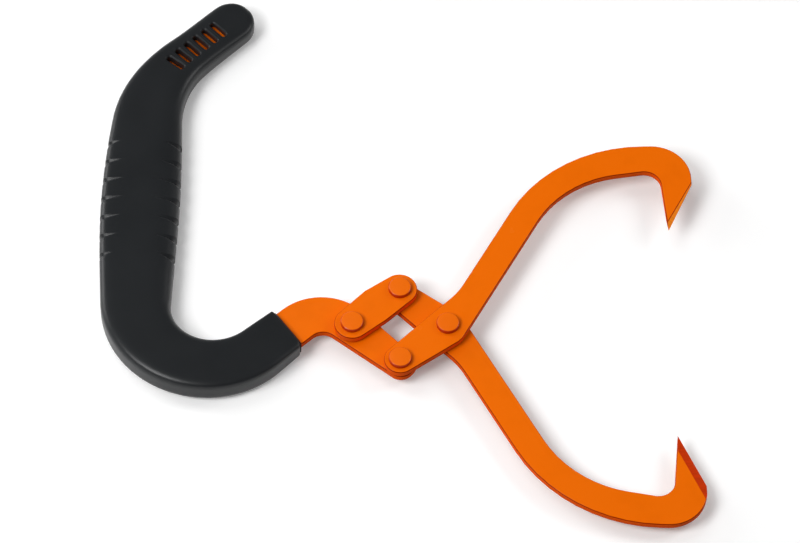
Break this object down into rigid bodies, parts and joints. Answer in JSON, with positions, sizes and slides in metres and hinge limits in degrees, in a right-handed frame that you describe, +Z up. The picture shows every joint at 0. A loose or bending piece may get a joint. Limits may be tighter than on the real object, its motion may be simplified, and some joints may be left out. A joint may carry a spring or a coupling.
{
  "type": "log tongs",
  "caption": "Log tongs: a C-shaped moulded grip on a flat steel bar, with riveted links that close pointed hooks on a log when the grip is pulled.",
  "frame": {"origin": "centre of the plan outline, on the surface that the tongs lie on", "axes": "+X along the centre line of the jaws from the grip to the points, +Y towards the upper hook and the free end of the grip, +Z up along the rivets"},
  "size_m": [0.3868, 0.398, 0.0219],
  "materials": {
    "painted_plate": "orange powder coat on flat steel plate",
    "painted_rivet": "orange powder coat over flat rivet heads",
    "washer": "orange powder coat on thin steel washers",
    "moulded_grip": "black moulded plastic, satin with a fine texture"
  },
  "bodies": {
    "handle": {"handle_bar": "painted_plate", "grip": "moulded_grip", "rear_rivet": "painted_rivet", "front_rivet": "painted_rivet", "rear_washer": "washer", "front_washer": "washer"},
    "link": {"link": "painted_plate", "link_rivet": "painted_rivet"},
    "upper_hook": {"upper_hook": "painted_plate", "main_rivet": "painted_rivet"},
    "lower_hook": {"lower_hook": "painted_plate", "main_washer": "washer", "link_washer": "washer"}
  },
  "joints": [
    {"name": "jaw_swing", "type": "hinge", "parent": "handle", "child": "upper_hook", "pos_m": [0.00113, -0.08428, 0.0161], "axis": [0, 0, 1], "range_deg": [-48, 52]},
    {"name": "link_swing", "type": "hinge", "parent": "handle", "child": "link", "pos_m": [-0.02953, -0.05781, 0.0161], "axis": [0, 0, 1], "range_deg": [-48, 52]},
    {"name": "hook_cross", "type": "hinge", "parent": "upper_hook", "child": "lower_hook", "pos_m": [0.03179, -0.05781, 0.01], "axis": [0, 0, 1], "range_deg": [-52, 48]}
  ],
  "couplings": [
    {"joint": "link_swing", "follows": "jaw_swing", "ratio": 1},
    {"joint": "hook_cross", "follows": "jaw_swing", "ratio": -1}
  ]
}
